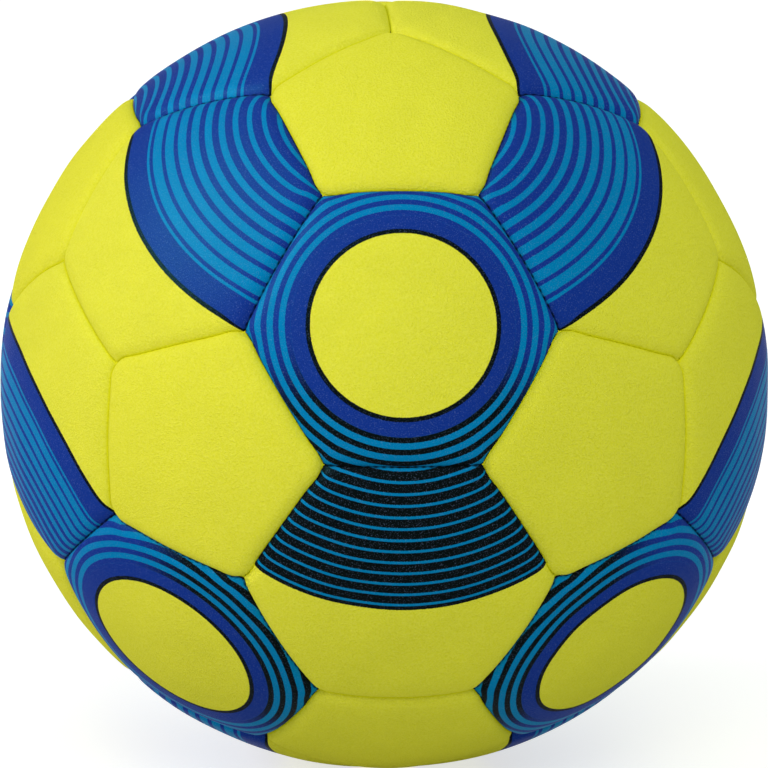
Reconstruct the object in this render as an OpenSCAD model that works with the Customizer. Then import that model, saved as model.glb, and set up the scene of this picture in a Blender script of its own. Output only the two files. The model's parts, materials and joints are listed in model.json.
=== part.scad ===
// Stitched indoor soccer ball of 20 hexagonal and 12 pentagonal panels over an air bladder.
// The ball's centre is the origin, and +Z points up. The front faces -Y.

/* [Ball] */
// Outside diameter over the crowns of the panels
ball_d = 220; // [190:1:240]
// Gap left between neighbouring panels in a seam
seam_gap = 0.2; // [0.1:0.05:0.4]
// Depth of the groove along a seam, where the side faces of two panels start
groove_depth = 1.8; // [1:0.1:2.4]
// Radius of the rounded edge of a panel
edge_r = 4; // [2.5:0.25:7]

/* [Panel layers] */
// Thickness of the microfibre cover
cover_t = 1.4; // [0.8:0.1:2]
// Width of the cover's edge that is turned in to the seam
turned_edge_w = 3; // [2:0.25:5]
// Thickness of the foam backing under the cover
foam_t = 2.6; // [1.6:0.1:4]
// Thickness of the woven lining under the foam
lining_t = 1; // [0.6:0.1:1.6]
// Glue line left between two layers
glue_gap = 0.12; // [0.1:0.02:0.2]

/* [Seam thread] */
// Diameter of the waxed thread
thread_d = 0.8; // [0.5:0.1:1.1]
// Depth of the thread's middle below the ball's surface
thread_depth = 3.4; // [3.1:0.1:3.8]
// Gap round the thread in its bed
thread_gap = 0.1; // [0.05:0.05:0.15]
// Length of seam left free of thread at each corner of a panel
thread_corner_free = 4; // [3:0.5:8]

/* [Bladder] */
// Thickness of the bladder's wall
bladder_t = 0.9; // [0.6:0.1:1.5]

/* [Valve] */
// Diameter of the valve housing's barrel
barrel_d = 9; // [8:0.25:12]
// Length of the barrel, from just under the panel's surface into the bladder
barrel_l = 20; // [17:0.5:28]
// How far the barrel's face lies below the panel's surface
valve_recess = 0.5; // [0.2:0.1:1]
// Gap round the barrel in the panel and in the bladder
barrel_gap = 0.3; // [0.2:0.05:0.6]
// Diameter of the flange that is bonded to the inside of the bladder
flange_d = 24; // [18:0.5:34]
// Thickness of the flange
flange_t = 1.2; // [0.8:0.1:2]
// Diameter of the reinforcing patch under the lining
patch_d = 40; // [30:1:48]
// Thickness of the reinforcing patch
patch_t = 0.3; // [0.2:0.05:0.5]
// Diameter of the valve core's shank
core_d = 5; // [4:0.25:5.5]
// Length of the valve core with its head
core_l = 16; // [13:0.5:16.5]
// Length of the tapered tip at the core's inner end
core_tip_l = 3; // [1.5:0.25:4]
// Diameter of the tip's end
core_tip_d = 3; // [2:0.25:3.5]
// Diameter of the valve core's head
core_head_d = 6.4; // [6:0.1:7]
// Thickness of the valve core's head
core_head_t = 1.5; // [1:0.1:2]
// Running clearance round the core's shank
core_gap = 0.05; // [0.02:0.01:0.08]
// Clearance round the core's head, and under it
core_head_gap = 0.1; // [0.06:0.02:0.2]
// Diameter of the hole for the pump's needle
needle_d = 2; // [1.6:0.1:2.4]
// Depth of the hole for the pump's needle
needle_l = 10; // [7:0.5:11]

/* [Hidden] */
$fn = 96;

// Colours as the photo shows them
yellow = [0.88, 0.89, 0.22];
royal_blue = [0.12, 0.22, 0.58];
near_black = [0.09, 0.10, 0.11];
foam_white = [0.93, 0.92, 0.88];
lining_white = [0.85, 0.84, 0.80];
thread_blue = [0.10, 0.13, 0.30];
bladder_black = [0.13, 0.13, 0.14];
valve_black = [0.08, 0.08, 0.09];
patch_white = [0.80, 0.79, 0.74];

// A truncated icosahedron whose edges are 1 long: its corners' distance from the centre
corner_reach = sqrt(58 + 18 * sqrt(5)) / 4;
// Angle that an edge spans at the ball's centre
edge_arc = 2 * asin(1 / (2 * corner_reach));
// Angle between a panel's axis and its corners
function corner_angle(sides) = asin(1 / (2 * sin(180 / sides)) / corner_reach);
// Angle between a panel's axis and the middles of its sides
function side_angle(sides) = atan(tan(corner_angle(sides)) * cos(180 / sides));

// Radii of the layers, from the outside in
ball_r = ball_d / 2;
foam_r = ball_r - cover_t - glue_gap;
lining_r = foam_r - foam_t - glue_gap;
panel_inner_r = lining_r - lining_t;
patch_r = panel_inner_r - glue_gap;
bladder_r = patch_r - patch_t - glue_gap;
flange_r = bladder_r - bladder_t - glue_gap;

// The rounded edge is a circle that stands past the ball by edge_crown, so that the two cross at a clear angle
edge_crown = 0.05;
groove_r = ball_r - groove_depth;
edge_reach = ball_r - edge_r + edge_crown;
edge_x = (edge_reach ^ 2 + groove_r ^ 2 - edge_r ^ 2) / (2 * groove_r);
edge_z = sqrt(edge_reach ^ 2 - edge_x ^ 2);
edge_top = edge_z * ball_r / edge_reach;
// How far a cut runs past the surface that it leaves
cut_past = 1;
// Angle by which the rounding of an edge runs past the corners
edge_run_past = 4;

// Seam thread
thread_r = ball_r - thread_depth;
thread_arc = edge_arc - 2 * thread_corner_free / thread_r * 180 / PI;

// Valve, measured along its own axis from the ball's centre
valve_face = ball_r - valve_recess;
barrel_bottom = valve_face - barrel_l;
core_bottom = valve_face - core_l;
barrel_hole_d = barrel_d + 2 * barrel_gap;

// Axes of the panels, along the corner directions of an icosahedron and of a dodecahedron
golden = (1 + sqrt(5)) / 2;
signs = [-1, 1];
pent_axes = [
    for (s = signs, t = signs)
        each [[0, s, t * golden], [s, t * golden, 0], [t * golden, 0, s]]
];
hex_axes = concat(
    [for (s = signs, t = signs, u = signs) [s, t, u]],
    [
        for (s = signs, t = signs)
            each [[0, s * golden, t / golden], [s / golden, 0, t * golden], [s * golden, t / golden, 0]]
    ]
);

// The valve is in the middle of this hexagon, on the back of the ball
valve_axis = [-1, 1, 1];
// Hexagons with a framed window, and the two dark ones
window_axes = [[0, -golden, 1 / golden], [-1, -1, -1], [1, -1, -1]];
dark_axis = [0, -golden, -1 / golden];

// Angle between the axes of two neighbouring panels
hex_hex_angle = 2 * side_angle(6);
hex_pent_angle = side_angle(6) + side_angle(5);
angle_tolerance = 0.5;

function unit(v) = v / norm(v);
function angle_between(a, b) = acos(min(1, unit(a) * unit(b)));
function is_near(a, b, angle) = abs(angle_between(a, b) - angle) < angle_tolerance;
function same_or_opposite(a, b) = norm(cross(unit(a), unit(b))) < sin(angle_tolerance);
function is_window(axis) = len([for (w = window_axes) if (same_or_opposite(w, axis)) w]) > 0;
function hex_colour(axis) =
    same_or_opposite(axis, dark_axis) ? near_black : is_window(axis) ? yellow : royal_blue;

// A turned frame with its columns along x, y and z
function frame_of(x, y, z) = [
    [x[0], y[0], z[0], 0],
    [x[1], y[1], z[1], 0],
    [x[2], y[2], z[2], 0],
    [0, 0, 0, 1]
];
// Frame of a panel: Z along its axis, and X towards its side with the given neighbour
function panel_frame(axis, neighbour) =
    let (z = unit(axis), y = unit(cross(z, neighbour)))
    frame_of(cross(y, z), y, z);
function hex_frame(axis) =
    panel_frame(axis, [for (p = pent_axes) if (is_near(axis, p, hex_pent_angle)) p][0]);
function pent_frame(axis) =
    panel_frame(axis, [for (h = hex_axes) if (is_near(axis, h, hex_pent_angle)) h][0]);
// Frame of a seam: X to its middle, and Z square to the seam's plane, towards the first panel
function seam_frame(a, a_angle, b, b_angle) =
    let (
        z = unit(unit(a) * cos(b_angle) - unit(b) * cos(a_angle)),
        y = unit(cross(z, unit(a) + unit(b)))
    )
    frame_of(cross(y, z), y, z);

// Names of the panels, by their order in the lists of axes
function numbered(name, i) = str(name, i < 9 ? "_0" : "_", i + 1);
hex_names = [for (i = [0 : len(hex_axes) - 1]) numbered("hex_panel", i)];
pent_names = [for (i = [0 : len(pent_axes) - 1]) numbered("pent_panel", i)];

// A ball whose poles lie off the panel that faces +Z
module ball_of(r) {
    rotate([90, 0, 0]) sphere(r);
}

module shell_of(r, t) {
    difference() {
        ball_of(r);
        ball_of(r - t);
    }
}

// The space between the seam planes of a panel that faces +Z, with each plane moved in by inset
module panel_space(sides, inset) {
    reach = 2 * ball_r;
    translate([0, 0, inset / sin(side_angle(sides))])
        rotate(180 / sides)
            cylinder(h = reach, r1 = 0, r2 = reach * tan(corner_angle(sides)), $fn = sides);
}

// Children drawn with X to the middle of a seam and Z into the panel, at each side of a panel
module at_each_side(sides) {
    for (i = [0 : sides - 1])
        rotate([0, side_angle(sides) - 90, i * 360 / sides]) children();
}

// What the rounding takes off one edge of a panel
module edge_cut() {
    arc = edge_arc + 2 * edge_run_past;
    rotate(-arc / 2)
        rotate_extrude(angle = arc)
            difference() {
                translate([edge_x, -cut_past])
                    square([ball_r + cut_past - edge_x, edge_top + cut_past]);
                translate([edge_x, edge_z]) circle(edge_r);
            }
}

// A length of thread along a seam
module thread_run(d, arc) {
    rotate(-arc / 2)
        rotate_extrude(angle = arc)
            translate([thread_r, 0]) circle(d = d);
}

// The bed of the thread, a gap larger than the thread all round
module thread_bed() {
    thread_run(thread_d + 2 * thread_gap, thread_arc + 2 * thread_gap / thread_r * 180 / PI);
}

module valve_hole() {
    cylinder(h = ball_r + cut_past, d = barrel_hole_d);
}

// The cover of one panel: a tray with rounded edges, whose rim is the edge turned in to the seam
module cover(sides) {
    difference() {
        intersection() {
            ball_of(ball_r);
            panel_space(sides, seam_gap / 2);
        }
        intersection() {
            ball_of(ball_r - cover_t);
            panel_space(sides, seam_gap / 2 + turned_edge_w);
        }
        ball_of(panel_inner_r);
        at_each_side(sides) edge_cut();
        at_each_side(sides) thread_bed();
    }
}

// One layer inside the tray of a panel
module tray_layer(sides, r, t) {
    intersection() {
        shell_of(r, t);
        panel_space(sides, seam_gap / 2 + turned_edge_w + glue_gap);
    }
}

module foam(sides) {
    tray_layer(sides, foam_r, foam_t);
}

module lining(sides) {
    tray_layer(sides, lining_r, lining_t);
}

// A layer of a hexagon, with the hole for the valve where that hexagon has it
module place_hex(axis) {
    multmatrix(hex_frame(axis))
        difference() {
            children();
            if (axis == valve_axis) valve_hole();
        }
}

module place_pent(axis) {
    multmatrix(pent_frame(axis)) children();
}

module hex_panel(axis) {
    color(hex_colour(axis)) place_hex(axis) cover(6);
}

module pent_panel(axis) {
    color(yellow) place_pent(axis) cover(5);
}

module hex_foam_backing() {
    color(foam_white) for (axis = hex_axes) place_hex(axis) foam(6);
}

module pent_foam_backing() {
    color(foam_white) for (axis = pent_axes) place_pent(axis) foam(5);
}

module hex_lining() {
    color(lining_white) for (axis = hex_axes) place_hex(axis) lining(6);
}

module pent_lining() {
    color(lining_white) for (axis = pent_axes) place_pent(axis) lining(5);
}

// Thread in the seams between two hexagons, each seam once
module hex_seam_thread() {
    color(thread_blue)
        for (i = [0 : len(hex_axes) - 2], j = [i + 1 : len(hex_axes) - 1])
            if (is_near(hex_axes[i], hex_axes[j], hex_hex_angle))
                multmatrix(seam_frame(hex_axes[i], side_angle(6), hex_axes[j], side_angle(6)))
                    thread_run(thread_d, thread_arc);
}

// Thread in the seams between a hexagon and a pentagon
module pent_seam_thread() {
    color(thread_blue)
        for (h = hex_axes, p = pent_axes)
            if (is_near(h, p, hex_pent_angle))
                multmatrix(seam_frame(h, side_angle(6), p, side_angle(5)))
                    thread_run(thread_d, thread_arc);
}

module bladder() {
    color(bladder_black)
        multmatrix(hex_frame(valve_axis))
            difference() {
                shell_of(bladder_r, bladder_t);
                valve_hole();
            }
}

// A round of cloth that strengthens the panel where the valve comes through
module valve_patch() {
    color(patch_white)
        multmatrix(hex_frame(valve_axis))
            difference() {
                intersection() {
                    shell_of(patch_r, patch_t);
                    cylinder(h = ball_r, d = patch_d);
                }
                valve_hole();
            }
}

// Rubber barrel with a flange that follows the inside of the bladder
module valve_housing() {
    color(valve_black)
        multmatrix(hex_frame(valve_axis))
            difference() {
                union() {
                    translate([0, 0, barrel_bottom]) cylinder(h = barrel_l, d = barrel_d);
                    intersection() {
                        shell_of(flange_r, flange_t);
                        cylinder(h = ball_r, d = flange_d);
                    }
                }
                translate([0, 0, barrel_bottom - cut_past])
                    cylinder(h = barrel_l + 2 * cut_past, d = core_d + 2 * core_gap);
                translate([0, 0, valve_face - core_head_t - core_head_gap])
                    cylinder(h = core_head_t + core_head_gap + cut_past, d = core_head_d + 2 * core_head_gap);
            }
}

// Rubber plug with a head, a tapered tip and a blind hole for the needle
module valve_core() {
    color(valve_black)
        multmatrix(hex_frame(valve_axis))
            difference() {
                union() {
                    translate([0, 0, valve_face - core_head_t]) cylinder(h = core_head_t, d = core_head_d);
                    translate([0, 0, core_bottom + core_tip_l])
                        cylinder(h = core_l - core_tip_l - core_head_t, d = core_d);
                    translate([0, 0, core_bottom]) cylinder(h = core_tip_l, d1 = core_tip_d, d2 = core_d);
                }
                translate([0, 0, valve_face - needle_l]) cylinder(h = needle_l + cut_past, d = needle_d);
            }
}

for (i = [0 : len(hex_axes) - 1])
    hex_panel(hex_axes[i]);
for (i = [0 : len(pent_axes) - 1])
    pent_panel(pent_axes[i]);
hex_foam_backing();
pent_foam_backing();
hex_lining();
pent_lining();
hex_seam_thread();
pent_seam_thread();
bladder();
valve_patch();
valve_housing();
valve_core();
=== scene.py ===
"""Looks of a stitched indoor soccer ball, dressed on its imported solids.

Lengths are in millimetres until a mesh is made, and directions are in the ball's own frame.
"""

import json
import math

import bpy
import numpy as np
from mathutils import Matrix, Vector


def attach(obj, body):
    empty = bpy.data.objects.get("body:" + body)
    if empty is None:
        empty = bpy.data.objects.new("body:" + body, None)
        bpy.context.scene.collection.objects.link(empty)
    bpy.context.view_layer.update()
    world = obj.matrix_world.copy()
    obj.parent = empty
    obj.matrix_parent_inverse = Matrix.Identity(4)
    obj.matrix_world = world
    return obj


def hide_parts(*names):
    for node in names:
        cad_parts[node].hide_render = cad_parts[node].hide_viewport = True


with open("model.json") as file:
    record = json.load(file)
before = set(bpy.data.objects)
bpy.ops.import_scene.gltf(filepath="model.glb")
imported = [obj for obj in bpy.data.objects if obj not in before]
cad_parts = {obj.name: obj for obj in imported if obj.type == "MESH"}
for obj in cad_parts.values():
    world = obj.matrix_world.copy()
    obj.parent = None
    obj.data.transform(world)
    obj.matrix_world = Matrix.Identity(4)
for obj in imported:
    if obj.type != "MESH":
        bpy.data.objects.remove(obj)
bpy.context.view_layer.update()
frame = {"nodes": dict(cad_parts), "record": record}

# Overall sizes
MM = 0.001
MOUNTS = {mount["name"]: mount for mount in frame["record"]["mounts"]}
BALL_R = -MOUNTS["rest_point"]["pos_m"][2] / MM
VALVE_AXIS = np.array(MOUNTS["needle_port"]["axis"])
VALVE_FACE = float(np.linalg.norm(MOUNTS["needle_port"]["pos_m"])) / MM
GOLDEN = (1 + math.sqrt(5)) / 2
SIGNS = (-1, 1)
MIRRORED = (1, 1, -1)

# The seams' great-circle arcs come from a truncated icosahedron with edges of 1
CORNER_REACH = math.sqrt(58 + 18 * math.sqrt(5)) / 4
EDGE_ARC = 2 * math.asin(1 / (2 * CORNER_REACH))
EDGE_LENGTH = EDGE_ARC * BALL_R

# Padded face of a panel: a broad crown, a rolled edge, a crease, pulled-in corners and stitch puckers
CROWN_W = 10.0
CROWN_DROP = 0.50
ROLL_W = 4.2
ROLL_DROP = 1.0
CREASE_W = 0.7
CREASE_DROP = 0.42
CORNER_W = 3.0
CORNER_DIP = 0.65
CORNER_GAP = 0.25
STITCHES = 20
STITCH_PITCH = EDGE_LENGTH / STITCHES
PUCKER = 0.12
PUCKER_W = 1.0
GAP_CLOSED = 0.01
GAP_OPEN = 0.08
GAP_W = 0.6
UNEVEN = 0.10
UNEVEN_WAVES = 7
UNEVEN_LENGTHS = (16.0, 40.0)
SEED = 52

# Round corners of the pentagons: how far a corner moves in, how much of its point is flattened,
# and how wide that reaches
CORNER_SHIFT = 0.5
CORNER_FLAT = 0.6
CORNER_ROUND_W = 5.0

# Sides and rim of a panel's cover, as depths below the ball's surface and insets from the seam
SIDE_TOP = 2.8
SIDE_TOP_INSET = 0.04
THREAD_TOP = 2.92
THREAD_BOTTOM = 3.95
THREAD_INSET = 0.5
SIDE_LOW = 4.2
SIDE_LOW_INSET = 0.10
PANEL_T = 5.2
RIM_W = 3.1
COVER_T = 1.35
WALL = (
    (SIDE_TOP, SIDE_TOP_INSET),
    (THREAD_TOP, THREAD_INSET),
    (THREAD_BOTTOM, THREAD_INSET),
    (SIDE_LOW, SIDE_LOW_INSET),
    (PANEL_T, SIDE_LOW_INSET),
)

# Mesh fineness: rings round a panel's middle, each with one more step a side, then finer rings
# on its rolled edge and the finest at the seam
RINGS = 32
EDGE_ZONE = 6.5
EDGE_RINGS = 6
SEAM_RINGS = 11
EDGE_STEPS = EDGE_RINGS * [2 * RINGS] + SEAM_RINGS * [4 * RINGS]
EDGE_GRADING = 1.7
WALL_STEPS = 2 * RINGS
INSIDE_STEPS = (RINGS, RINGS // 2)
INSIDE_SHARES = (0.66, 0.33)
SHARP_ANGLE = math.radians(50)

# Allowances where directions are compared, and for a length that may be nothing
COSINE_SLACK = 0.01
COSINE_DIGITS = 6
TINY = 1e-9

# Maps for baked colours: the sides lie round the face, and what is hidden lies small in a corner
MAP_WALL_STEP = 0.4
MAP_MARGIN = 3.0
MAP_HIDDEN = 0.06
MAP_HIDDEN_R = 0.05

# Valve, in the middle of one hexagon on the back
VALVE_HOLE_R = 4.8
VALVE_LIP = 0.9
VALVE_LIP_RINGS = (0.0, 0.06, 0.2, 0.45, 0.9, 1.6)
VALVE_DIMPLE = 0.25
VALVE_DIMPLE_W = 5.0
BARREL_R = 4.5
BARREL_L = 20.0
BORE_R = 2.55
HEAD_SEAT_R = 3.3
HEAD_SEAT_DEPTH = 1.6
FLANGE_R = 12.0
FLANGE_TOP = 103.2
FLANGE_T = 1.2
CORE_R = 2.5
CORE_L = 16.0
CORE_TIP_R = 1.5
CORE_TIP_L = 3.0
HEAD_R = 3.2
HEAD_T = 1.5
HEAD_DISH = 0.2
NEEDLE_R = 1.0
NEEDLE_L = 10.0
NEEDLE_MOUTH = 0.45
FILLET_STEPS = 6
LATHE_STEPS = 96

# Roundings and chamfers of the valve's housing and core. A pair is a step in radius and one in height,
# and the end of a fillet is a direction in degrees
BARREL_LIP = 0.55
BARREL_CHAMFER = 0.4
BORE_CHAMFER = 0.3
SEAT_CHAMFER = 0.2
FLANGE_FILLET = 0.8
FLANGE_FILLET_END = 262
FLANGE_FROM = 2.0
FLANGE_EDGE = (0.5, 0.35)
FLANGE_UNDER_EDGE = (0.4, 0.2)
HEAD_ROUND = 0.35
HEAD_CHAMFER = 0.15
DISH_FLAT = 0.45
NEEDLE_TIP = 0.5
CORE_TIP_EDGE = (0.2, 0.3)


def srgb(red, green, blue):
    """A colour given in 8-bit screen values, as the shaders' linear RGBA."""
    linear = []
    for value in (red, green, blue):
        share = value / 255
        linear.append(share / 12.92 if share <= 0.04045 else ((share + 0.055) / 1.055) ** 2.4)
    return (*linear, 1.0)


# Colours
YELLOW = srgb(234, 232, 44)
# Painted bounce light: the deeper yellow that light bouncing in a seam's crease gives bare felt
PAINTED_BOUNCE_YELLOW = srgb(233, 231, 6)
BLUE = srgb(20, 52, 140)
CYAN = srgb(0, 125, 180)
BLACK = srgb(8, 16, 17)
FUZZ_GREY = srgb(190, 195, 205)
FLECK_GREY = srgb(120, 140, 175)
FOAM_WHITE = srgb(238, 235, 224)
LINING_WHITE = srgb(216, 213, 203)
THREAD_NAVY = srgb(26, 32, 74)
PATCH_WHITE = srgb(204, 201, 188)
BLADDER_BLACK = srgb(38, 38, 40)
VALVE_BLACK = srgb(26, 26, 28)
CORE_BLACK = srgb(34, 34, 37)

# Print: rings round the windows' middles and arcs round each striped panel's facing pentagon
PRINT_SOFT = 0.16
PRINT_RAGGED = 0.35
KEYLINE_W = 1.3
WINDOW_R = 26.0
WINDOW_BAND_W = 4.2
RING_PITCH = 3.4
RING_SHARE = 0.52
WINDOW_DARK_FROM = 62.0
WINDOW_DARK_TO = 84.0
ARC_BAND_W = 7.0
ARC_PITCH = 4.2
ARC_SHARES = (0.30, 0.72)
DARK_PITCH = 3.4
DARK_SHARE = 0.24
DARK_LINES = 24
DARK_FIELD = (DARK_LINES + 0.5) * DARK_PITCH

# Felt: sizes of its grain in mm, how much the grain tints it, its surface, and painted light at its seams
NAP = 0.60
NAP_DETAIL = 3.0
NAP_ROUGH = 0.6
NAP_HEIGHT = 0.6
FIBRE = 0.32
FIBRE_HEIGHT = 0.4
CLOUD = 14.0
NAP_TINT = 0.12
FIBRE_TINT = 0.11
CLOUD_TINT = 0.03
FELT_FUZZ = 0.09
FUZZ_RAMP = (0.15, 0.85)
FELT_BUMP = 0.65
FELT_ROUGH = 0.85
INK_ROUGH = 0.40
INK_FILL = 0.65
INK_FLECK = 0.22
INK_FLECK_RAMP = (0.55, 0.72)
# Painted shade on printed felt at the seams: how near the seam it reaches in mm, its share, and how much it
# eases at each stitch
PAINTED_SHADE_RAMP = (0.12, 0.42)
PAINTED_SHADE = 0.92
PAINTED_SHADE_DASH = 0.65
# Painted bounce light on bare felt at the seams: how near the seam it reaches in mm, and its share
PAINTED_BOUNCE_RAMP = (0.10, 0.70)
PAINTED_BOUNCE = 0.80
FELT_SPECULAR = 0.005
FELT_SHEEN = 0.004
FELT_SHEEN_ROUGH = 0.45

# Foam, cloth and thread: sizes of their grain in mm, how much it tints them, and their surfaces
CLOTH_ROUGH = 0.9
FOAM_CELL = 0.6
FOAM_CELL_TINT = 0.06
FOAM_CLOUD = 9.0
FOAM_CLOUD_TINT = 0.04
FOAM_BUMP = 0.15
LINING_PITCH = 1.2
PATCH_PITCH = 0.9
WEAVE_TINT = 0.10
WEAVE_CLOUD = 6.0
WEAVE_CLOUD_TINT = 0.05
WEAVE_BUMP = 0.2
TWIST = 0.35
TWIST_DETAIL = 3.0
TWIST_STRETCH = (1.0, 1.0, 2.5)
TWIST_TINT = 0.25
TWIST_BUMP = 0.12
THREAD_ROUGH = 0.45

# Rubber: a slow bloom that dusts it and changes its gloss, and a fine grain
BLOOM = 5.0
BLOOM_DETAIL = 4.0
BLOOM_ROUGH = 0.65
BLOOM_SWING = 0.2
GRAIN = 0.25
GRAIN_TINT = 0.12
GRAIN_BUMP = 0.03
RUBBER_SPECULAR = 0.25
HOUSING_ROUGH = 0.50
HOUSING_DUST = 0.03
CORE_ROUGH = 0.42
CORE_DUST = 0.02
BLADDER_ROUGH = 0.60
BLADDER_DUST = 0.10

# Sockets of a Mix node that take and give colours
MIX_INPUTS = (0, 6, 7)
MIX_OUTPUT = 2

# Camera, from the photograph's seams and outline. Its reach is in ball radii and its sensor's width in mm
IMAGE_SIDE = 768
OUTLINE_R_PX = 384.5
CAMERA_AZIMUTH = math.radians(-3.0)
CAMERA_ELEVATION = math.radians(12.2)
CAMERA_ROLL = math.radians(-0.5)
CAMERA_REACH = 25.0
CLIP_END = 100.0
SENSOR = 36.0

# Light: a place is an azimuth, an elevation and a distance in m. The glint shows only in reflections on
# the printed covers. The floor adds FLOOR_WHITE where it is seen, and lights the ball with FLOOR_GLOW
WORLD_FILL = 0.525
WORLD_TINT = (0.92, 1.0, 0.97)
KEY_PLACE = (math.radians(-78), math.radians(25), 2.4)
KEY_SIZE = (1.0, 0.9)
KEY_POWER = 23.0
KEY_TINT = (1.0, 0.89, 0.98)
FILL_PLACE = (math.radians(2), math.radians(41), 3.6)
FILL_SIZE = (2.4, 1.8)
FILL_POWER = 44.0
FILL_TINT = (0.99, 0.99, 0.93)
GLINT_PLACE = (math.radians(-86), math.radians(41), 2.4)
GLINT_SIZE = (1.0, 1.0)
GLINT_POWER = 1300.0
GLINT_TINT = (0.16, 0.90, 1.0)
BACK_PLACE = (math.radians(140), math.radians(48), 2.4)
BACK_SIZE = (1.6, 1.4)
BACK_POWER = 4.0
BACK_TINT = (1.0, 1.0, 0.98)
FLOOR_SIDE = 12.0
FLOOR_ROUGH = 0.9
FLOOR_GREY = 0.55
FLOOR_WHITE = 0.66
FLOOR_GLOW = 0.10


def unit(vector):
    """The direction of a vector."""
    vector = np.asarray(vector, float)
    return vector / np.linalg.norm(vector)


def ball_axes():
    """The directions of the hexagons and of the pentagons, in the order of their nodes."""
    hexes = [(s, t, u) for s in SIGNS for t in SIGNS for u in SIGNS]
    pents = []
    for s in SIGNS:
        for t in SIGNS:
            hexes += [(0, s * GOLDEN, t / GOLDEN), (s / GOLDEN, 0, t * GOLDEN), (s * GOLDEN, t / GOLDEN, 0)]
            pents += [(0, s, t * GOLDEN), (s, t * GOLDEN, 0), (t * GOLDEN, 0, s)]
    return np.array([unit(axis) for axis in hexes]), np.array([unit(axis) for axis in pents])


HEX_AXES, PENT_AXES = ball_axes()


class PanelKind:
    """Angles and directions of a regular panel that has its middle on +Z and a side's middle over +X."""

    def __init__(self, sides):
        half = math.pi / sides
        turns = 2 * half * np.arange(sides)
        cos, sin = np.cos(turns), np.sin(turns)
        self.sides = sides
        self.corner = math.asin(1 / (2 * math.sin(half) * CORNER_REACH))
        self.side = math.atan(math.tan(self.corner) * math.cos(half))
        out = math.sin(self.side)
        up = math.cos(self.side)
        self.middles = np.c_[out * cos, out * sin, np.full(sides, up)]
        self.inward = np.c_[-up * cos, -up * sin, np.full(sides, out)]
        self.along = np.c_[-sin, cos, np.zeros(sides)]
        self.corners = np.c_[
            math.sin(self.corner) * np.cos(turns + half),
            math.sin(self.corner) * np.sin(turns + half),
            np.full(sides, math.cos(self.corner)),
        ]
        self.corner_axes = self.to_pentagons()

    def to_pentagons(self):
        """Directions along the ball at the corners, each towards the middle of its pentagon."""
        if self.sides == 5:
            along = np.array([0.0, 0.0, 1.0]) - self.corners[:, 2:] * self.corners
        else:
            # A pentagon lies straight on from the seam between two hexagons, away from its other end
            others = self.corners[np.arange(self.sides) ^ 1]
            along = np.einsum("ij,ij->i", others, self.corners)[:, None] * self.corners - others
        return along / np.linalg.norm(along, axis=1, keepdims=True)

    def rounded(self, points):
        """Points of a face, moved along the ball near the corners so that pentagons have round corners."""
        reach = np.linalg.norm(points, axis=1, keepdims=True)
        rays = points / reach
        moved = points.copy()
        for corner, axis in zip(self.corners, self.corner_axes):
            away = BALL_R * np.linalg.norm(rays - corner, axis=1)
            shift = CORNER_SHIFT - CORNER_FLAT * BALL_R * (rays @ axis)
            moved += (shift * np.exp(-((away / CORNER_ROUND_W) ** 2)))[:, None] * axis
        return moved * reach / np.linalg.norm(moved, axis=1, keepdims=True)

    def ring(self, steps, share, start_angle=0.0):
        """Rays of a ring with so many steps a side, at a share of the way from start_angle to the seams."""
        arcs = EDGE_ARC * (np.arange(steps) / steps - 0.5)
        towards_middles = np.cos(arcs)[None, :, None] * self.middles[:, None]
        along_sides = np.sin(arcs)[None, :, None] * self.along[:, None]
        border = (towards_middles + along_sides).reshape(-1, 3)
        heading = border[:, :2] / np.linalg.norm(border[:, :2], axis=1, keepdims=True)
        angle = start_angle + (np.arccos(border[:, 2]) - start_angle) * share
        return np.c_[np.sin(angle)[:, None] * heading, np.cos(angle)]

    def to_sides(self, rays):
        """Distances from each ray's point on the ball to the panel's sides."""
        return np.maximum(BALL_R * np.arcsin(np.clip(rays @ self.inward.T, -1, 1)), 0)

    def to_corner(self, rays):
        """Distance from each ray's point on the ball to the panel's nearest corner."""
        return BALL_R * np.arccos(np.clip(rays @ self.corners.T, -1, 1)).min(axis=1)


HEXAGON = PanelKind(6)
PENTAGON = PanelKind(5)
HEX_TO_PENT = HEXAGON.side + PENTAGON.side

# The arcs of a striped hexagon end at the two corners that are level with its middle
ARC_FIELD = BALL_R * math.acos(math.cos(HEX_TO_PENT) * math.cos(HEXAGON.corner)) - KEYLINE_W


def joined(parts):
    """One depth share from the shares that the sides give, so that they blend at the corners."""
    return 1 - np.prod(1 - parts, axis=1)


def stitch_share(kind, rays):
    """1 at each stitch of the nearest seam and 0 midway between two stitches."""
    nearest = kind.to_sides(rays).argmin(axis=1)
    along = BALL_R * np.arcsin(np.clip(np.einsum("ij,ij->i", rays, kind.along[nearest]), -1, 1))
    return 0.5 + 0.5 * np.cos(2 * math.pi * along / STITCH_PITCH)


def face_depth(kind, rays):
    """How far the padded face lies below the ball's full sphere."""
    to_sides = kind.to_sides(rays)
    to_seam = to_sides.min(axis=1)
    crowned = np.clip(1 - to_sides / CROWN_W, 0, 1) ** 2
    rolled = np.clip(1 - to_sides / ROLL_W, 0, 1) ** 2
    depth = CROWN_DROP * joined(crowned) + ROLL_DROP * joined(rolled)
    depth += CREASE_DROP * np.exp(-to_seam / CREASE_W)
    depth += CORNER_DIP * np.exp(-((kind.to_corner(rays) / CORNER_W) ** 2))
    depth += PUCKER * stitch_share(kind, rays) * np.exp(-to_seam / PUCKER_W)
    return depth


def face_inset(kind, rays):
    """How far each point of the face is drawn in from the seams' planes, least at the stitches."""
    slack = 1 - stitch_share(kind, rays)
    to_seam = kind.to_sides(rays).min(axis=1)
    inset = GAP_CLOSED + (GAP_OPEN - GAP_CLOSED) * slack * np.exp(-to_seam / GAP_W)
    return inset + CORNER_GAP * np.exp(-((kind.to_corner(rays) / CORNER_W) ** 2))


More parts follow.
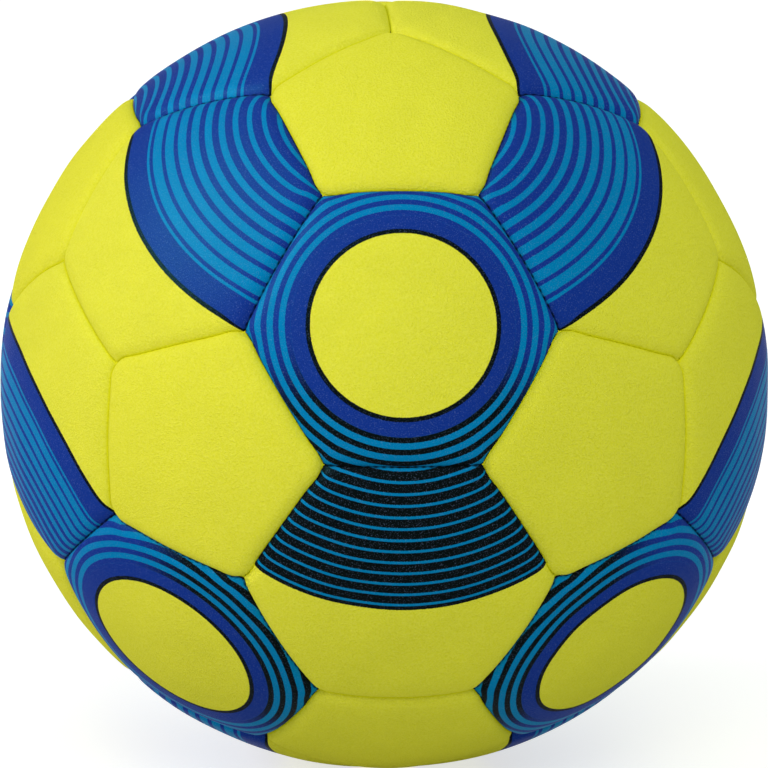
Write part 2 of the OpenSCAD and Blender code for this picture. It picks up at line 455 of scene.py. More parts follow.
def face_rings(kind, hole_angle):
    """Steps a side and share of the way out for each ring of a face, closest at seams and at a hole."""
    reach = BALL_R * (kind.side - hole_angle)
    edge_share = EDGE_ZONE / reach
    rings = [(RINGS // 2, away / reach) for away in VALVE_LIP_RINGS] if hole_angle else [(0, 0.0)]
    first, start = rings[-1]
    for steps in range(first + 1, RINGS + 1):
        rings.append((steps, start + (1 - edge_share - start) * (steps - first) / (RINGS - first)))
    for number, steps in enumerate(EDGE_STEPS, 1):
        left = 1 - number / len(EDGE_STEPS)
        rings.append((steps, 1 - edge_share * left**EDGE_GRADING))
    return rings


def sector_band(inner, outer, sides):
    """Triangles between a ring and the next one out, which has one more step on each side."""
    steps = len(outer) // sides
    faces = []
    for side in range(sides):
        for step in range(steps):
            near = inner[(side * (steps - 1) + step) % len(inner)]
            this = outer[side * steps + step]
            after = outer[(side * steps + step + 1) % len(outer)]
            faces.append((near, this, after))
            if step < steps - 1:
                faces.append((near, after, inner[(side * (steps - 1) + step + 1) % len(inner)]))
    return faces


def quad_band(ring, following):
    """Faces between two rings of as many points."""
    faces = []
    for i, this in enumerate(ring):
        after = (i + 1) % len(ring)
        faces.append((this, following[i], following[after], ring[after]))
    return faces


def doubling_band(ring, following):
    """Triangles between a ring and one that has twice as many points."""
    faces = []
    for i, this in enumerate(ring):
        after = ring[(i + 1) % len(ring)]
        first = following[2 * i]
        middle = following[2 * i + 1]
        last = following[(2 * i + 2) % len(following)]
        faces += [(this, first, middle), (this, middle, after), (after, middle, last)]
    return faces


def band(ring, following, sides):
    """Faces between two rings, by how many points each has."""
    if len(following) == len(ring):
        return quad_band(ring, following)
    if len(following) == 2 * len(ring):
        return doubling_band(ring, following)
    if 2 * len(following) == len(ring):
        return [face[::-1] for face in doubling_band(following, ring)]
    return sector_band(ring, following, sides)


class PanelShape:
    """The points and faces of one kind of panel: a padded face, sides, a rim and a hollow inside."""

    def __init__(self, kind, hole_r=0.0):
        self.kind = kind
        self.hole_angle = hole_r / BALL_R
        self.rays = np.zeros((0, 3))
        self.depth = np.zeros(0)
        self.inset = np.zeros(0)
        self.map_r = np.zeros(0)
        self.faces = []
        self.wall_from = 0
        self.hidden_from = 0
        self.build()

    def add_ring(self, rays, depth, inset, map_extra=0.0):
        """Adds points along these rays and returns their indices."""
        start = len(self.rays)
        count = len(rays)
        self.rays = np.r_[self.rays, rays]
        self.depth = np.r_[self.depth, np.broadcast_to(depth, count)]
        self.inset = np.r_[self.inset, np.broadcast_to(inset, count)]
        self.map_r = np.r_[self.map_r, BALL_R * np.arccos(np.clip(rays[:, 2], -1, 1)) + map_extra]
        return list(range(start, start + count))

    def build(self):
        """Goes from the middle of the face out, down the sides, under the rim and back inside."""
        kind = self.kind
        middle_ray = np.array([[0.0, 0.0, 1.0]])
        ring = None
        for steps, share in face_rings(kind, self.hole_angle):
            rays = kind.ring(steps, share, self.hole_angle) if steps else middle_ray
            depth = face_depth(kind, rays) + self.hole_depth(rays)
            outer = self.add_ring(rays, depth, face_inset(kind, rays))
            if ring:
                self.faces += band(ring, outer, kind.sides)
            else:
                first_ring = outer
            ring = outer
        self.wall_from = len(self.rays)
        border = kind.ring(WALL_STEPS, 1.0)
        for number, (depth, inset) in enumerate(WALL, 1):
            ring = self.join(ring, border, depth, inset, map_extra=MAP_WALL_STEP * number)
        self.hidden_from = len(self.faces)
        for depth in (PANEL_T, COVER_T + CROWN_DROP):
            ring = self.join(ring, border, depth, RIM_W)
        for steps, share in zip(INSIDE_STEPS, self.inside_shares()):
            ring = self.join(ring, kind.ring(steps, share, self.hole_angle), COVER_T, RIM_W * share)
        if self.hole_angle:
            self.faces += band(ring, first_ring, kind.sides)
            return
        middle = self.add_ring(middle_ray, COVER_T, 0.0)[0]
        self.faces += [(ring[i], middle, ring[(i + 1) % len(ring)]) for i in range(len(ring))]

    def join(self, ring, rays, depth, inset, map_extra=0.0):
        """Adds a ring along these rays and the faces between it and the ring before, and returns it."""
        following = self.add_ring(rays, depth, inset, map_extra)
        self.faces += band(ring, following, self.kind.sides)
        return following

    def inside_shares(self):
        """Shares of the way out for the inside's rings, the last of which meets a hole if there is one."""
        return (INSIDE_SHARES[0], 0.0) if self.hole_angle else INSIDE_SHARES

    def hole_depth(self, rays):
        """Extra depth of the face round a hole, which has a rolled lip in a shallow dimple."""
        if not self.hole_angle:
            return 0.0
        away = np.maximum(BALL_R * (np.arccos(np.clip(rays[:, 2], -1, 1)) - self.hole_angle), 0)
        lip = 1 - np.sqrt(1 - np.clip(1 - away / VALVE_LIP, 0, 1) ** 2)
        return VALVE_LIP * lip + VALVE_DIMPLE * np.exp(-((away / VALVE_DIMPLE_W) ** 2))

    def places(self, extra_depth):
        """Where the points lie: drawn in along the panel's axis, at their depths, with round corners."""
        reach = BALL_R - self.depth - extra_depth
        shift = self.inset / math.sin(self.kind.side)
        down = shift * self.rays[:, 2]
        length = -down + np.sqrt(down**2 - shift**2 + reach**2)
        points = length[:, None] * self.rays
        points[:, 2] += shift
        points[:self.wall_from] = self.kind.rounded(points[:self.wall_from])
        return points

    def unevenness(self, rng):
        """A slow, slight waviness of the face, which fades towards the seams."""
        flat = BALL_R * self.rays[:, :2]
        waves = np.zeros(len(flat))
        for _ in range(UNEVEN_WAVES):
            turn, phase = rng.uniform(0, 2 * math.pi, 2)
            length = rng.uniform(*UNEVEN_LENGTHS)
            waves += np.cos(2 * math.pi * (flat @ [math.cos(turn), math.sin(turn)]) / length + phase)
        to_seam = self.kind.to_sides(self.rays).min(axis=1)
        fade = np.clip(to_seam / CROWN_W, 0, 1)
        face = self.depth < COVER_T
        return np.where(face, UNEVEN * fade * waves / math.sqrt(UNEVEN_WAVES), 0)

    def mesh(self, name):
        """A mesh with these faces and a map for baked colours, at places that each panel sets anew."""
        mesh = bpy.data.meshes.new(name)
        mesh.from_pydata(self.places(0) * MM, [], self.faces)
        flat = self.rays[:, :2]
        heading = flat / np.maximum(np.linalg.norm(flat, axis=1, keepdims=True), TINY)
        reach = BALL_R * self.kind.corner + MAP_MARGIN
        shown = 0.5 + 0.5 * heading * (self.map_r / reach)[:, None]
        hidden = MAP_HIDDEN + MAP_HIDDEN_R * heading * (self.map_r / reach)[:, None]
        loop_points = np.zeros(len(mesh.loops), int)
        mesh.loops.foreach_get("vertex_index", loop_points)
        first_hidden = mesh.polygons[self.hidden_from].loop_start
        coordinates = shown[loop_points]
        coordinates[first_hidden:] = hidden[loop_points[first_hidden:]]
        layer = mesh.uv_layers.new(name="OFBake")
        layer.data.foreach_set("uv", coordinates.astype(np.float32).ravel())
        mesh.polygons.foreach_set("use_smooth", np.ones(len(mesh.polygons), bool))
        mesh.set_sharp_from_angle(angle=SHARP_ANGLE)
        return mesh


class Surface:
    """A material's nodes, with one short call for each kind that the ball's surfaces use."""

    def __init__(self, name):
        self.material = bpy.data.materials.new(name)
        self.material.use_nodes = True
        self.tree = self.material.node_tree
        self.shader = self.tree.nodes["Principled BSDF"]
        self.place = self.add("ShaderNodeTexCoord").outputs["Object"]

    def add(self, kind, **settings):
        """A new node with these settings."""
        node = self.tree.nodes.new(kind)
        for setting, value in settings.items():
            setattr(node, setting, value)
        return node

    def feed(self, socket, value):
        """Links a socket to another node's output, or sets it to a number, vector or colour."""
        if isinstance(value, bpy.types.NodeSocket):
            self.tree.links.new(value, socket)
        else:
            socket.default_value = value

    def set(self, **values):
        """Sets or links sockets of the shader, named with underscores for spaces."""
        for name, value in values.items():
            self.feed(self.shader.inputs[name.replace("_", " ")], value)

    def math(self, operation, *values):
        """The result of one sum."""
        node = self.add("ShaderNodeMath", operation=operation)
        for socket, value in zip(node.inputs, values):
            self.feed(socket, value)
        return node.outputs[0]

    def ramp(self, value, low, high, to_low=0.0, to_high=1.0):
        """A smooth step from to_low to to_high as value goes from low to high."""
        node = self.add("ShaderNodeMapRange", interpolation_type="SMOOTHSTEP")
        for socket, number in zip(node.inputs, (value, low, high, to_low, to_high)):
            self.feed(socket, number)
        return node.outputs[0]

    def over(self, value, edge):
        """0 where value is under the edge of a printed shape and 1 where it is over it."""
        return self.ramp(value, edge - PRINT_SOFT / 2, edge + PRINT_SOFT / 2)

    def lines(self, distance, pitch, share):
        """1 on evenly spaced printed lines that take a share of their pitch."""
        away = self.math("PINGPONG", distance, pitch / 2)
        half = self.math("MULTIPLY", share, pitch / 2)
        return self.ramp(self.math("SUBTRACT", half, away), -PRINT_SOFT / 2, PRINT_SOFT / 2)

    def mix(self, share, first, second):
        """A colour that goes from first to second with share."""
        node = self.add("ShaderNodeMix", data_type="RGBA")
        for index, value in zip(MIX_INPUTS, (share, first, second)):
            self.feed(node.inputs[index], value)
        return node.outputs[MIX_OUTPUT]

    def noise(self, size, detail=2.0, roughness=0.5, stretch=None):
        """Noise with lumps of about this size in mm, from 0 to 1."""
        node = self.add("ShaderNodeTexNoise")
        place = self.place
        if stretch:
            mapping = self.add("ShaderNodeMapping")
            self.feed(mapping.inputs["Vector"], place)
            self.feed(mapping.inputs["Scale"], stretch)
            place = mapping.outputs[0]
        self.feed(node.inputs["Vector"], place)
        self.feed(node.inputs["Scale"], 1 / (size * MM))
        self.feed(node.inputs["Detail"], detail)
        self.feed(node.inputs["Roughness"], roughness)
        return node.outputs[0]

    def tinted(self, colour, *parts):
        """A colour made lighter and darker by noises, each given with its share."""
        shade = 1.0
        for noise, share in parts:
            swing = self.math("MULTIPLY_ADD", noise, 2 * share, 1 - share)
            shade = self.math("MULTIPLY", shade, swing)
        node = self.add("ShaderNodeVectorMath", operation="SCALE")
        self.feed(node.inputs[0], colour if isinstance(colour, bpy.types.NodeSocket) else colour[:3])
        self.feed(node.inputs["Scale"], shade)
        return node.outputs[0]

    def bump(self, height, depth):
        """Raises the surface by a height from 0 to 1, times this depth in mm."""
        node = self.add("ShaderNodeBump")
        self.feed(node.inputs["Height"], height)
        self.feed(node.inputs["Distance"], depth * MM)
        self.feed(self.shader.inputs["Normal"], node.outputs[0])

    def distances(self):
        """Distances from the panel's middle, from its facing panel's middle and from its nearest seam."""
        attribute = self.add("ShaderNodeAttribute", attribute_name="print")
        split = self.add("ShaderNodeSeparateXYZ")
        self.feed(split.inputs[0], attribute.outputs["Vector"])
        return split.outputs

    def stitches(self):
        """1 at each stitch of the nearest seam and 0 midway between two stitches."""
        return self.add("ShaderNodeAttribute", attribute_name="stitches").outputs["Fac"]

    def print_distances(self, grain):
        """Distances from the panel's and its facing panel's middle, made slightly ragged by the grain."""
        ragged = self.math("MULTIPLY_ADD", grain, PRINT_RAGGED, -PRINT_RAGGED / 2)
        return [self.math("ADD", output, ragged) for output in self.distances()[:2]]


def plain_print(surface, grain):
    """Bare yellow felt, and no ink."""
    return YELLOW, 0.0


def window_print(surface, grain):
    """A bare disc in a dark keyline, a blue band and rings, which are darker towards the facing panel."""
    own, facing = surface.print_distances(grain)
    base = surface.mix(surface.ramp(facing, WINDOW_DARK_FROM, WINDOW_DARK_TO), BLACK, BLUE)
    rings = surface.mix(surface.lines(own, RING_PITCH, RING_SHARE), base, CYAN)
    ink = surface.over(own, WINDOW_R)
    colour = surface.mix(ink, YELLOW, BLACK)
    colour = surface.mix(surface.over(own, WINDOW_R + KEYLINE_W), colour, BLUE)
    colour = surface.mix(surface.over(own, WINDOW_R + KEYLINE_W + WINDOW_BAND_W), colour, rings)
    return colour, ink


def striped_print(surface, grain):
    """Arcs of cyan on blue round the facing pentagon, which end in a blue band and a dark keyline."""
    facing = surface.print_distances(grain)[1]
    nearest = PENTAGON.side * BALL_R
    share = surface.ramp(facing, nearest, ARC_FIELD - ARC_BAND_W, *ARC_SHARES)
    colour = surface.mix(surface.lines(facing, ARC_PITCH, share), BLUE, CYAN)
    colour = surface.mix(surface.over(facing, ARC_FIELD - ARC_BAND_W), colour, BLUE)
    colour = surface.mix(surface.over(facing, ARC_FIELD), colour, BLACK)
    bare = surface.over(facing, ARC_FIELD + KEYLINE_W)
    return surface.mix(bare, colour, YELLOW), surface.math("SUBTRACT", 1.0, bare)


def dark_print(surface, grain):
    """Thin arcs of cyan on black round the facing hexagon, which end a little past the panel's middle."""
    facing = surface.print_distances(grain)[1]
    colour = surface.mix(surface.lines(facing, DARK_PITCH, DARK_SHARE), BLACK, CYAN)
    bare = surface.over(facing, DARK_FIELD)
    return surface.mix(bare, colour, YELLOW), surface.math("SUBTRACT", 1.0, bare)


def felt(name, draw_print):
    """Suede-like microfibre with a fine nap, smoother where printed. Seam shade and bounce light are
    painted.
    """
    surface = Surface(name)
    nap = surface.noise(NAP, NAP_DETAIL, NAP_ROUGH)
    fibre = surface.noise(FIBRE)
    cloud = surface.noise(CLOUD)
    colour, ink = draw_print(surface, fibre)
    bare = surface.math("SUBTRACT", 1.0, ink)
    fuzz = surface.ramp(nap, *FUZZ_RAMP, 0.0, FELT_FUZZ)
    colour = surface.mix(surface.math("MULTIPLY", fuzz, bare), colour, FUZZ_GREY)
    fleck = surface.ramp(fibre, *INK_FLECK_RAMP, 0.0, INK_FLECK)
    colour = surface.mix(surface.math("MULTIPLY", fleck, ink), colour, FLECK_GREY)
    to_seam = surface.distances()[2]
    # Painted bounce light: bare felt turns a deeper yellow in the seam's crease, where light bounces between
    # panels
    painted_seam_light = surface.ramp(to_seam, *PAINTED_BOUNCE_RAMP, PAINTED_BOUNCE, 0.0)
    colour = surface.mix(surface.math("MULTIPLY", painted_seam_light, bare), colour, PAINTED_BOUNCE_YELLOW)
    # Painted shade: printed felt darkens to black in the seam's crease, in dashes between the stitches where
    # the open gap lies in shade
    painted_seam_light = surface.ramp(to_seam, *PAINTED_SHADE_RAMP, PAINTED_SHADE, 0.0)
    painted_shade_dash = surface.math("MULTIPLY_ADD", surface.stitches(), -PAINTED_SHADE_DASH, 1.0)
    painted_seam_light = surface.math("MULTIPLY", surface.math("MULTIPLY", painted_seam_light, painted_shade_dash), ink)
    colour = surface.mix(painted_seam_light, colour, BLACK)
    tints = ((nap, NAP_TINT), (fibre, FIBRE_TINT), (cloud, CLOUD_TINT))
    surface.set(Base_Color=surface.tinted(colour, *tints))
    nap_height = surface.math("MULTIPLY", nap, NAP_HEIGHT)
    height = surface.math("MULTIPLY_ADD", fibre, FIBRE_HEIGHT, nap_height)
    filled = surface.math("MULTIPLY_ADD", ink, -INK_FILL, 1.0)
    surface.bump(surface.math("MULTIPLY", height, filled), FELT_BUMP)
    smoothness = surface.math("MULTIPLY", ink, FELT_ROUGH - INK_ROUGH)
    surface.set(Roughness=surface.math("SUBTRACT", FELT_ROUGH, smoothness))
    surface.set(Specular_IOR_Level=FELT_SPECULAR)
    surface.set(Sheen_Weight=FELT_SHEEN, Sheen_Roughness=FELT_SHEEN_ROUGH)
    return surface.material


def foam():
    """Fine closed-cell foam."""
    surface = Surface("foam")
    cells = surface.add("ShaderNodeTexVoronoi")
    surface.feed(cells.inputs["Vector"], surface.place)
    surface.feed(cells.inputs["Scale"], 1 / (FOAM_CELL * MM))
    cell = cells.outputs["Distance"]
    tints = ((cell, FOAM_CELL_TINT), (surface.noise(FOAM_CLOUD), FOAM_CLOUD_TINT))
    surface.set(Base_Color=surface.tinted(FOAM_WHITE, *tints), Roughness=CLOTH_ROUGH)
    surface.bump(cell, FOAM_BUMP)
    return surface.material


def woven(name, colour, pitch):
    """Plain-woven cloth, its yarns crossing at this pitch in mm."""
    surface = Surface(name)
    split = surface.add("ShaderNodeSeparateXYZ")
    surface.feed(split.inputs[0], surface.place)
    turns = 2 * math.pi / (pitch * MM)
    yarns = [surface.math("SINE", surface.math("MULTIPLY", axis, turns)) for axis in split.outputs]
    weave = surface.math("MULTIPLY", surface.math("MULTIPLY", yarns[0], yarns[1]), yarns[2])
    height = surface.math("MULTIPLY_ADD", weave, 0.5, 0.5)
    tints = ((height, WEAVE_TINT), (surface.noise(WEAVE_CLOUD), WEAVE_CLOUD_TINT))
    surface.set(Base_Color=surface.tinted(colour, *tints), Roughness=CLOTH_ROUGH)
    surface.bump(height, WEAVE_BUMP)
    return surface.material


def thread():
    """Waxed twisted thread."""
    surface = Surface("thread")
    twist = surface.noise(TWIST, TWIST_DETAIL, stretch=TWIST_STRETCH)
    surface.set(Base_Color=surface.tinted(THREAD_NAVY, (twist, TWIST_TINT)), Roughness=THREAD_ROUGH)
    surface.bump(twist, TWIST_BUMP)
    return surface.material


def rubber(name, colour, rough, dust):
    """Moulded rubber, with a share of pale dust on it."""
    surface = Surface(name)
    bloom = surface.noise(BLOOM, BLOOM_DETAIL, BLOOM_ROUGH)
    grain = surface.noise(GRAIN)
    dusted = surface.mix(surface.math("MULTIPLY", bloom, dust), colour, LINING_WHITE)
    surface.set(Base_Color=surface.tinted(dusted, (grain, GRAIN_TINT)))
    surface.set(Roughness=surface.math("MULTIPLY_ADD", bloom, BLOOM_SWING, rough - BLOOM_SWING / 2))
    surface.set(Specular_IOR_Level=RUBBER_SPECULAR)
    surface.bump(grain, GRAIN_BUMP)
    return surface.material


def panel_frame(axis, others):
    """A matrix with the panel's X, Y and Z as columns, X towards its nearest panel of the other kind."""
    towards = others[np.argmax(np.round(others @ axis, COSINE_DIGITS))]
    x = unit(towards - (towards @ axis) * axis)
    return np.c_[x, np.cross(axis, x), axis]


def apart(first, second):
    """Distance along the ball between the points in two directions, or lists of directions."""
    return BALL_R * np.arccos(np.clip(first @ second, -1, 1))


def facing_axis(axis, slot):
    """The middle of the panel that a printed panel's rings or arcs look to."""
    beside = math.cos(HEX_TO_PENT) - COSINE_SLACK
    nearest_dark = max(DARK_AXES, key=lambda dark: dark @ axis)
    if slot == "cover_window":
        return nearest_dark
    if slot == "cover_dark":
        return axis * MIRRORED
    if slot == "cover_striped":
        hubs = [pent for pent in PENT_AXES if pent @ axis > beside and max(DARK_AXES @ pent) < beside]
        return max(hubs, key=lambda hub: hub @ nearest_dark)
    return axis


SLOT_OF = {part["node"]: part["material_slot"] for part in frame["record"]["subparts"]}
HEX_NODES = [f"hex_panel_{number:02d}" for number in range(1, len(HEX_AXES) + 1)]
PENT_NODES = [f"pent_panel_{number:02d}" for number in range(1, len(PENT_AXES) + 1)]
DARK_AXES = np.array([axis for node, axis in zip(HEX_NODES, HEX_AXES) if SLOT_OF[node] == "cover_dark"])
FELTS = {
    "cover_plain": felt("felt_plain", plain_print),
    "cover_window": felt("felt_window", window_print),
    "cover_striped": felt("felt_striped", striped_print),
    "cover_dark": felt("felt_dark", dark_print),
}
PRINTED_COVERS = bpy.data.collections.new("printed_covers")


def new_piece(name, mesh, material, node, body="ball"):
    """Puts a mesh in the scene in place of a CAD node."""
    piece = bpy.data.objects.new(name, mesh)
    bpy.context.scene.collection.objects.link(piece)
    mesh.materials.append(material)
    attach(piece, body)
    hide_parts(node)
    return piece


def make_panel(node, axis, others, shape, blank, rng):
    """One padded panel in its place on the ball, with the distances that its print is drawn by."""
    slot = SLOT_OF[node]
    turned = panel_frame(axis, others).T
    places = shape.places(shape.unevenness(rng)) @ turned
    rays = shape.rays @ turned
    to_seam = shape.kind.to_sides(shape.rays).min(axis=1)
    distances = np.c_[apart(rays, axis), apart(rays, facing_axis(axis, slot)), to_seam]
    mesh = blank.copy()
    mesh.name = node + "_felt"
    mesh.vertices.foreach_set("co", (places * MM).astype(np.float32).ravel())
    attribute = mesh.attributes.new("print", "FLOAT_VECTOR", "POINT")
    attribute.data.foreach_set("vector", distances.astype(np.float32).ravel())
    attribute = mesh.attributes.new("stitches", "FLOAT", "POINT")
    attribute.data.foreach_set("value", stitch_share(shape.kind, shape.rays).astype(np.float32))
    mesh.update()
    piece = new_piece(node + "_padded", mesh, FELTS[slot], node)
    if slot != "cover_plain":
        PRINTED_COVERS.objects.link(piece)


def make_panels():
    """All 32 panels. The one that the valve comes through has a hole."""
    shapes = {
        "hexagon": PanelShape(HEXAGON),
        "valve": PanelShape(HEXAGON, VALVE_HOLE_R),
        "pentagon": PanelShape(PENTAGON),
    }
    blanks = {name: shape.mesh(name) for name, shape in shapes.items()}
    rng = np.random.default_rng(SEED)
    for node, axis in zip(HEX_NODES, HEX_AXES):
        name = "valve" if axis @ VALVE_AXIS > 1 - COSINE_SLACK else "hexagon"
        make_panel(node, axis, PENT_AXES, shapes[name], blanks[name], rng)
    for node, axis in zip(PENT_NODES, PENT_AXES):
        make_panel(node, axis, HEX_AXES, shapes["pentagon"], blanks["pentagon"], rng)
    for blank in blanks.values():
        bpy.data.meshes.remove(blank)


def fillet(middle, radius, start, end):
    """Points of an arc about (radius, height), from one direction to another in degrees."""
    angles = np.radians(np.linspace(start, end, FILLET_STEPS))
    return [(middle[0] + radius * math.cos(a), middle[1] + radius * math.sin(a)) for a in angles]


def lathe(name, outline, closed):
    """Turns (radius, height) points about the valve's axis into a mesh. An open outline ends on the axis."""
    frame_columns = panel_frame(unit(VALVE_AXIS), PENT_AXES)
    turns = 2 * math.pi * np.arange(LATHE_STEPS) / LATHE_STEPS
    points = []
    rings = []
    for radius, height in outline:
        start = len(points)
        count = LATHE_STEPS if radius > 0 else 1
        points += [(radius * math.cos(t), radius * math.sin(t), height) for t in turns[:count]]
        rings.append(list(range(start, start + count)))
    faces = []
    next_rings = rings[1:] + rings[:1] if closed else rings[1:]
    steps = range(LATHE_STEPS)
    for ring, following in zip(rings, next_rings):
        if len(ring) == 1:
            faces += [(ring[0], following[i], following[(i + 1) % LATHE_STEPS]) for i in steps]
        elif len(following) == 1:
            faces += [(ring[i], following[0], ring[(i + 1) % LATHE_STEPS]) for i in steps]
        else:
            faces += quad_band(ring, following)
    mesh = bpy.data.meshes.new(name)
    mesh.from_pydata(np.array(points) @ frame_columns.T * MM, [], faces)
    mesh.polygons.foreach_set("use_smooth", np.ones(len(mesh.polygons), bool))
    mesh.set_sharp_from_angle(angle=SHARP_ANGLE)
    return mesh


def on_sphere(radius, off_axis):
    """Height at which a sphere about the ball's middle is this far off the valve's axis."""
    return math.sqrt(radius**2 - off_axis**2)


def flange_arc(radius, start, end):
    """Outline points on a sphere about the ball's middle, from one distance off the axis to another."""
    return [(r, on_sphere(radius, r)) for r in np.linspace(start, end, FILLET_STEPS)]


def housing_outline():
    """The barrel with its bore, the seat for the core's head, and the flange that follows the bladder."""
    bottom = VALVE_FACE - BARREL_L
    seat = VALVE_FACE - HEAD_SEAT_DEPTH
    under = FLANGE_TOP - FLANGE_T
    fillet_level = on_sphere(FLANGE_TOP, BARREL_R) + FLANGE_FILLET
    edge_in, edge_down = FLANGE_EDGE
    under_in, under_up = FLANGE_UNDER_EDGE
    outline = [(BORE_R, bottom + BORE_CHAMFER), (BORE_R, seat), (HEAD_SEAT_R, seat)]
    outline += [(HEAD_SEAT_R, VALVE_FACE - SEAT_CHAMFER), (HEAD_SEAT_R + SEAT_CHAMFER, VALVE_FACE)]
    outline += fillet((BARREL_R - BARREL_LIP, VALVE_FACE - BARREL_LIP), BARREL_LIP, 90, 0)
    outline += fillet((BARREL_R + FLANGE_FILLET, fillet_level), FLANGE_FILLET, 180, FLANGE_FILLET_END)
    outline += flange_arc(FLANGE_TOP, BARREL_R + FLANGE_FROM, FLANGE_R - edge_in)
    outline += [(FLANGE_R, on_sphere(FLANGE_TOP, FLANGE_R) - edge_down)]
    outline += [(FLANGE_R, on_sphere(under, FLANGE_R) + under_up)]
    outline += flange_arc(under, FLANGE_R - under_in, BARREL_R)
    outline += [(BARREL_R, bottom + BARREL_CHAMFER), (BARREL_R - BARREL_CHAMFER, bottom)]
    outline += [(BORE_R + BORE_CHAMFER, bottom)]
    return outline


def core_outline():
    """The plug: the needle's hole with a funnel mouth, a dished head, the shank and a tapered tip."""
    bottom = VALVE_FACE - CORE_L
    neck = VALVE_FACE - HEAD_T
    needle_end = VALVE_FACE - NEEDLE_L
    dished = VALVE_FACE - HEAD_DISH
    mouth_r = NEEDLE_R + NEEDLE_MOUTH
    tip_side, tip_up = CORE_TIP_EDGE
    outline = [(0.0, needle_end), (NEEDLE_R, needle_end + NEEDLE_TIP)]
    outline += [(NEEDLE_R, dished - NEEDLE_MOUTH), (mouth_r, dished), (mouth_r + DISH_FLAT, dished)]
    outline += [(HEAD_R - 2 * HEAD_ROUND, VALVE_FACE)]
    outline += fillet((HEAD_R - HEAD_ROUND, VALVE_FACE - HEAD_ROUND), HEAD_ROUND, 90, 0)
    outline += [(HEAD_R, neck + HEAD_CHAMFER), (HEAD_R - HEAD_CHAMFER, neck), (CORE_R, neck)]
    outline += [(CORE_R, bottom + CORE_TIP_L), (CORE_TIP_R + tip_side, bottom + tip_up)]
    outline += [(CORE_TIP_R - tip_side, bottom), (0.0, bottom)]
    return outline


def make_valve():
    """The rubber housing, and the core that pulls out of it."""
    housing = lathe("valve_housing_rubber", housing_outline(), closed=True)
    housing_material = rubber("valve_rubber", VALVE_BLACK, HOUSING_ROUGH, HOUSING_DUST)
    new_piece("valve_housing_moulded", housing, housing_material, "valve_housing")
    core = lathe("valve_core_rubber", core_outline(), closed=False)
    core_material = rubber("valve_core_rubber", CORE_BLACK, CORE_ROUGH, CORE_DUST)
    new_piece("valve_core_moulded", core, core_material, "valve_core", "valve_core")


def finish_inner_nodes():
    """Materials for the solids that keep their own shape: foam, lining, thread, bladder and patch."""
    materials = {
        "foam": foam(),
        "lining": woven("lining_weave", LINING_WHITE, LINING_PITCH),
        "thread": thread(),
        "bladder": rubber("bladder_rubber", BLADDER_BLACK, BLADDER_ROUGH, BLADDER_DUST),
        "patch": woven("patch_weave", PATCH_WHITE, PATCH_PITCH),
    }
    for name, node in frame["nodes"].items():
        if SLOT_OF[name] in materials:
            if not node.material_slots:
                node.data.materials.append(None)
            for slot in node.material_slots:
                slot.material = materials[SLOT_OF[name]]


def seen_share(tree):
    """A node output that is 1 for rays that look at the background and 0 for rays that gather light."""
    path = tree.nodes.new("ShaderNodeLightPath")
    total = None
    for name in ("Is Camera Ray", "Is Glossy Ray", "Is Transmission Ray"):
        if total is None:
            total = path.outputs[name]
            continue
        larger = tree.nodes.new("ShaderNodeMath")
        larger.operation = "MAXIMUM"
        tree.links.new(total, larger.inputs[0])
        tree.links.new(path.outputs[name], larger.inputs[1])
        total = larger.outputs[0]
    return total


def make_world():
    """An even fill from all round."""
    world = bpy.data.worlds.new("studio")
    bpy.context.scene.world = world
    world.use_nodes = True
    background = world.node_tree.nodes["Background"]
    background.inputs["Color"].default_value = (*WORLD_TINT, 1)
    background.inputs["Strength"].default_value = WORLD_FILL


def make_floor():
    """A pale floor that the ball rests on, seen close to white, with the ball's shadow on it."""
    half = FLOOR_SIDE / 2
    level = -BALL_R * MM
    corners = [(-half, -half, level), (half, -half, level), (half, half, level), (-half, half, level)]
    mesh = bpy.data.meshes.new("floor")
    mesh.from_pydata(corners, [], [(0, 1, 2, 3)])
    floor = bpy.data.objects.new("floor", mesh)
    bpy.context.scene.collection.objects.link(floor)
    material = bpy.data.materials.new("pale_floor")
    material.use_nodes = True
    tree = material.node_tree
    shader = tree.nodes["Principled BSDF"]
    shader.inputs["Base Color"].default_value = (FLOOR_GREY, FLOOR_GREY, FLOOR_GREY, 1)
    shader.inputs["Roughness"].default_value = FLOOR_ROUGH
    shader.inputs["Specular IOR Level"].default_value = 0.0
    shader.inputs["Emission Color"].default_value = (1, 1, 1, 1)
    glow = tree.nodes.new("ShaderNodeMath")
    glow.operation = "MULTIPLY_ADD"
    tree.links.new(seen_share(tree), glow.inputs[0])
    glow.inputs[1].default_value = FLOOR_WHITE - FLOOR_GLOW
    glow.inputs[2].default_value = FLOOR_GLOW
    tree.links.new(glow.outputs[0], shader.inputs["Emission Strength"])
    mesh.materials.append(material)


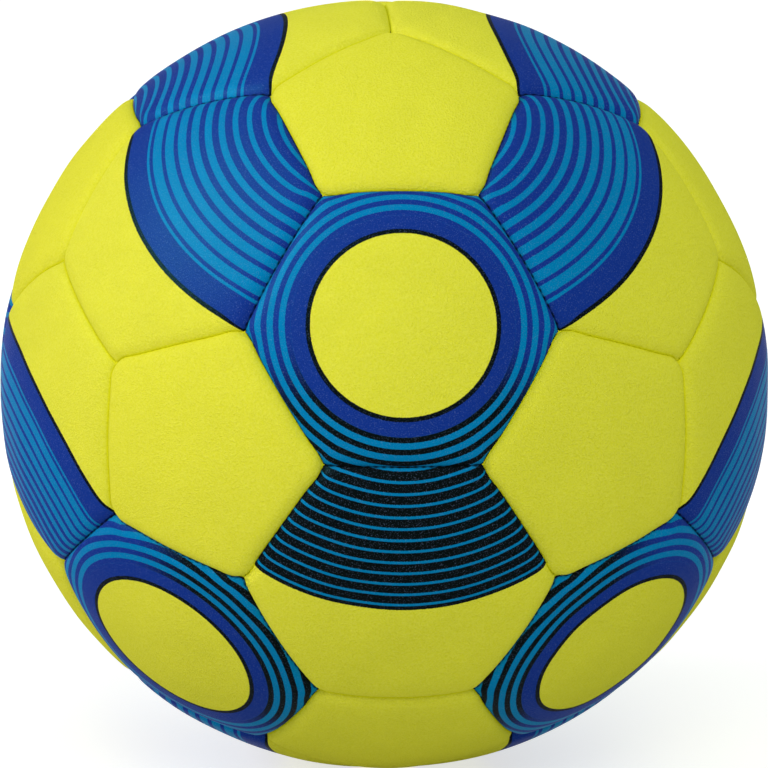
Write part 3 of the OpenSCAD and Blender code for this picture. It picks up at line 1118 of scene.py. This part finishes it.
def seen_from(azimuth, elevation):
    """The direction of a place round the ball. Azimuth 0 is the front, and 90 degrees is +X."""
    level = math.cos(elevation)
    return Vector((math.sin(azimuth) * level, -math.cos(azimuth) * level, math.sin(elevation)))


def make_lamp(name, place, size, power, tint):
    """A broad soft lamp that looks at the ball's middle from an azimuth, elevation and distance."""
    azimuth, elevation, distance = place
    direction = seen_from(azimuth, elevation)
    lamp = bpy.data.lights.new(name, "AREA")
    lamp.shape = "RECTANGLE"
    lamp.size, lamp.size_y = size
    lamp.energy = power
    lamp.color = tint
    holder = bpy.data.objects.new(name, lamp)
    bpy.context.scene.collection.objects.link(holder)
    holder.location = direction * distance
    holder.rotation_euler = (-direction).to_track_quat("-Z", "Y").to_euler()
    return holder


def make_camera():
    """A long lens at the photograph's angle, with the ball's outline touching the frame."""
    back = seen_from(CAMERA_AZIMUTH, CAMERA_ELEVATION)
    focal_px = OUTLINE_R_PX * math.sqrt(CAMERA_REACH**2 - 1)
    data = bpy.data.cameras.new("camera")
    data.sensor_width = SENSOR
    data.lens = SENSOR * focal_px / IMAGE_SIDE
    data.clip_end = CLIP_END
    camera = bpy.data.objects.new("camera", data)
    bpy.context.scene.collection.objects.link(camera)
    aim = (-back).to_track_quat("-Z", "Y").to_matrix().to_4x4()
    place = Matrix.Translation(back * CAMERA_REACH * BALL_R * MM)
    camera.matrix_world = place @ aim @ Matrix.Rotation(-CAMERA_ROLL, 4, "Z")
    bpy.context.scene.camera = camera


make_camera()
make_panels()
make_valve()
finish_inner_nodes()
make_world()
make_floor()

# The fill makes no reflections, and the glint makes nothing else
make_lamp("key", KEY_PLACE, KEY_SIZE, KEY_POWER, KEY_TINT)
fill = make_lamp("fill", FILL_PLACE, FILL_SIZE, FILL_POWER, FILL_TINT)
fill.visible_glossy = False
glint = make_lamp("glint", GLINT_PLACE, GLINT_SIZE, GLINT_POWER, GLINT_TINT)
glint.visible_diffuse = False
glint.light_linking.receiver_collection = PRINTED_COVERS
make_lamp("back", BACK_PLACE, BACK_SIZE, BACK_POWER, BACK_TINT)
bpy.context.scene.view_settings.view_transform = "Standard"
